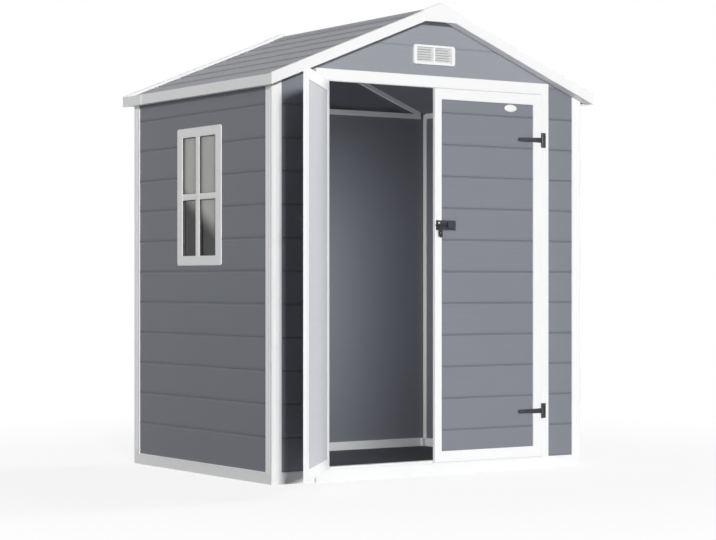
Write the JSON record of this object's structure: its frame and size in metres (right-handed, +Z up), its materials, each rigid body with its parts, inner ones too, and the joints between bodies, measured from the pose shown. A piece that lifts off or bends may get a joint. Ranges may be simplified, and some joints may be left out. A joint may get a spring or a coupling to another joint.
{
  "type": "garden shed",
  "caption": "Walk-in plastic garden shed with lapped board walls, a pitched plank roof, a side window, gable vents and a pair of outward doors with a slide bolt.",
  "frame": {"origin": "centre of the footprint on the ground, under the floor", "axes": "+X to the right seen from the front, +Y from the doors to the back, +Z up"},
  "size_m": [1.9392, 1.8507, 2.1838],
  "materials": {
    "white_trim": "moulded white resin, fine satin",
    "grey_boards": "moulded grey resin boards, matt with faint grain",
    "roof_planks": "moulded light grey resin planks, matt",
    "floor_plastic": "dark grey resin floor, matt",
    "clear_pane": "clear acrylic sheet",
    "black_hardware": "black powder coat",
    "beam_metal": "grey painted steel"
  },
  "bodies": {
    "shed": {"base_front_rail": "white_trim", "base_back_rail": "white_trim", "base_left_rail": "white_trim", "base_right_rail": "white_trim", "floor_panels": "floor_plastic", "front_posts": "white_trim", "back_posts": "white_trim", "left_wall_lower": "grey_boards", "left_wall_middle": "grey_boards", "left_wall_upper": "grey_boards", "right_wall_lower": "grey_boards", "right_wall_middle": "grey_boards", "right_wall_upper": "grey_boards", "back_wall_lower": "grey_boards", "back_wall_middle": "grey_boards", "back_wall_upper": "grey_boards", "front_left_panel": "grey_boards", "front_right_panel": "grey_boards", "door_jambs": "white_trim", "lintel": "white_trim", "front_gable": "grey_boards", "back_gable": "grey_boards", "front_vent": "white_trim", "back_vent": "white_trim", "window_frame": "white_trim", "window_pane": "clear_pane", "wall_top_rails": "white_trim", "gable_rails": "white_trim", "ridge_beam": "beam_metal", "roof_left": "roof_planks", "roof_right": "roof_planks", "ridge_cap": "roof_planks", "eave_fascias": "white_trim", "front_barge_boards": "white_trim", "back_barge_boards": "white_trim", "apex_caps": "white_trim", "corner_caps": "white_trim", "hinge_plates": "black_hardware"},
    "left_door": {"left_door_frame": "white_trim", "left_door_panel": "grey_boards", "left_hinge_straps": "black_hardware", "latch_keeper": "black_hardware"},
    "right_door": {"right_door_frame": "white_trim", "right_door_panel": "grey_boards", "right_hinge_straps": "black_hardware", "latch_plate": "black_hardware"},
    "bolt": {"latch_bolt": "black_hardware"}
  },
  "joints": [
    {"name": "left_door_hinge", "type": "hinge", "parent": "shed", "child": "left_door", "pos_m": [-0.6215, -0.6785, 0.9], "axis": [0, 0, -1], "range_deg": [-132, 22]},
    {"name": "right_door_hinge", "type": "hinge", "parent": "shed", "child": "right_door", "pos_m": [0.6215, -0.6785, 0.9], "axis": [0, 0, 1], "range_deg": [0, 154]},
    {"name": "bolt_slide", "type": "slide", "parent": "right_door", "child": "bolt", "axis": [-1, 0, 0], "range_m": [0, 0.028]}
  ]
}
